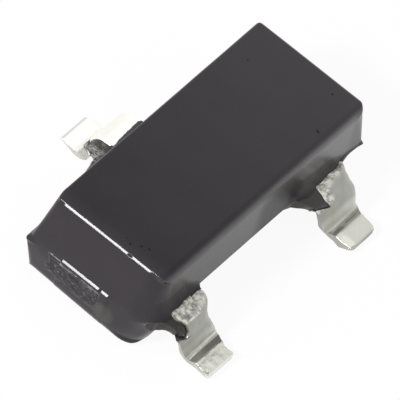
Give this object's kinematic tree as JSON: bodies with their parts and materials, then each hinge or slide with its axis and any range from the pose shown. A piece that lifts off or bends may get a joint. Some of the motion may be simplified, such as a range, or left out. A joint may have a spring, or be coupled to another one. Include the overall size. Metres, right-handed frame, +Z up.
{
  "type": "rf diode",
  "caption": "Small surface-mount diode in a dark moulded body with drafted sides and bent tinned leads.",
  "frame": {"origin": "middle of the footprint, on the plane of the soles of the leads", "axes": "+X along the long sides, +Y towards the side with one lead, +Z up"},
  "size_m": [0.003, 0.0024, 0.001],
  "materials": {
    "moulding": "satin, with a fine moulded grain",
    "lead_metal": "matte tin plating",
    "solder": "dull",
    "silicon": "polished",
    "gold": "bright"
  },
  "bodies": {
    "root": {"moulded_body": "moulding", "lead_1": "lead_metal", "lead_2": "lead_metal", "lead_3": "lead_metal", "die_attach_1": "solder", "die_attach_2": "solder", "chip_1": "silicon", "chip_2": "silicon", "contact_1": "gold", "contact_2": "gold", "bond_wire_1": "gold", "bond_wire_2": "gold"}
  },
  "joints": []
}
